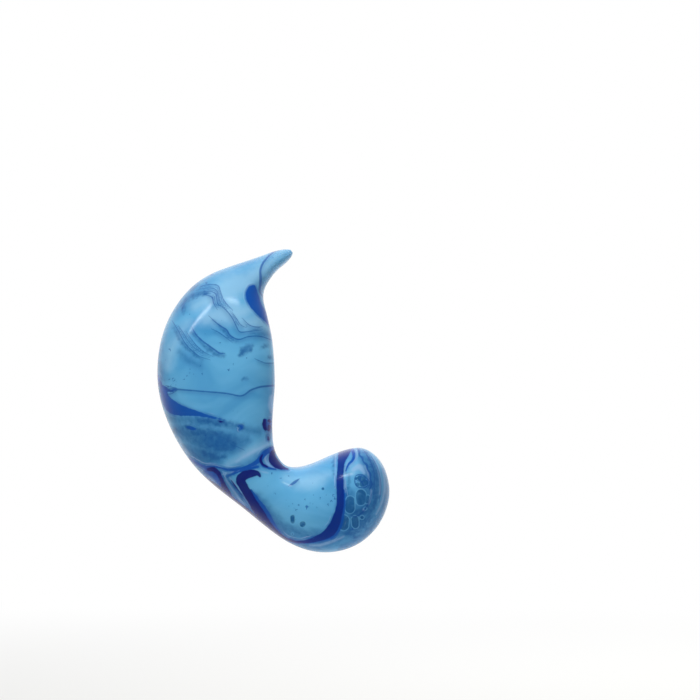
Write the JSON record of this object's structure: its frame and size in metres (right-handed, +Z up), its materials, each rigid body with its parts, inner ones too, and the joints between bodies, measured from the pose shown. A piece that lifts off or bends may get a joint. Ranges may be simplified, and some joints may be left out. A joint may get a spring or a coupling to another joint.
{
  "type": "stress ball",
  "caption": "Soft stress ball as a fist holds it: a marbled rubber skin full of dough, squeezed into two lobes with a finger hollow between them, closed by a glued plug.",
  "frame": {"origin": "middle of the hand's grip, on the wall that the curled fingers press, half way up the squeezed ball", "axes": "+Z up along the squeezed ball from the free lobe to the pinched tail, -Y towards the viewer and the fingers' side, +Y towards the palm, +X the way the finger hollow opens"},
  "size_m": [0.0753, 0.0442, 0.0988],
  "materials": {
    "marbled_rubber": "glossy soft thermoplastic rubber, sky blue marbled with royal blue and pale lilac",
    "dough": "pale stiff dough",
    "plug_rubber": "satin translucent thermoplastic rubber",
    "clear_glue": "glossy cured adhesive"
  },
  "bodies": {
    "ball": {"skin": "marbled_rubber", "fill": "dough"},
    "port_plug": {"plug": "plug_rubber", "glue_bead": "clear_glue"}
  },
  "joints": [
    {"name": "squeeze", "type": "slide", "parent": "ball", "child": "port_plug", "axis": [0, -1, 0], "range_m": [0, 0.00744], "stiffness_N_per_m": 600, "deforming": ["skin", "fill"]}
  ]
}
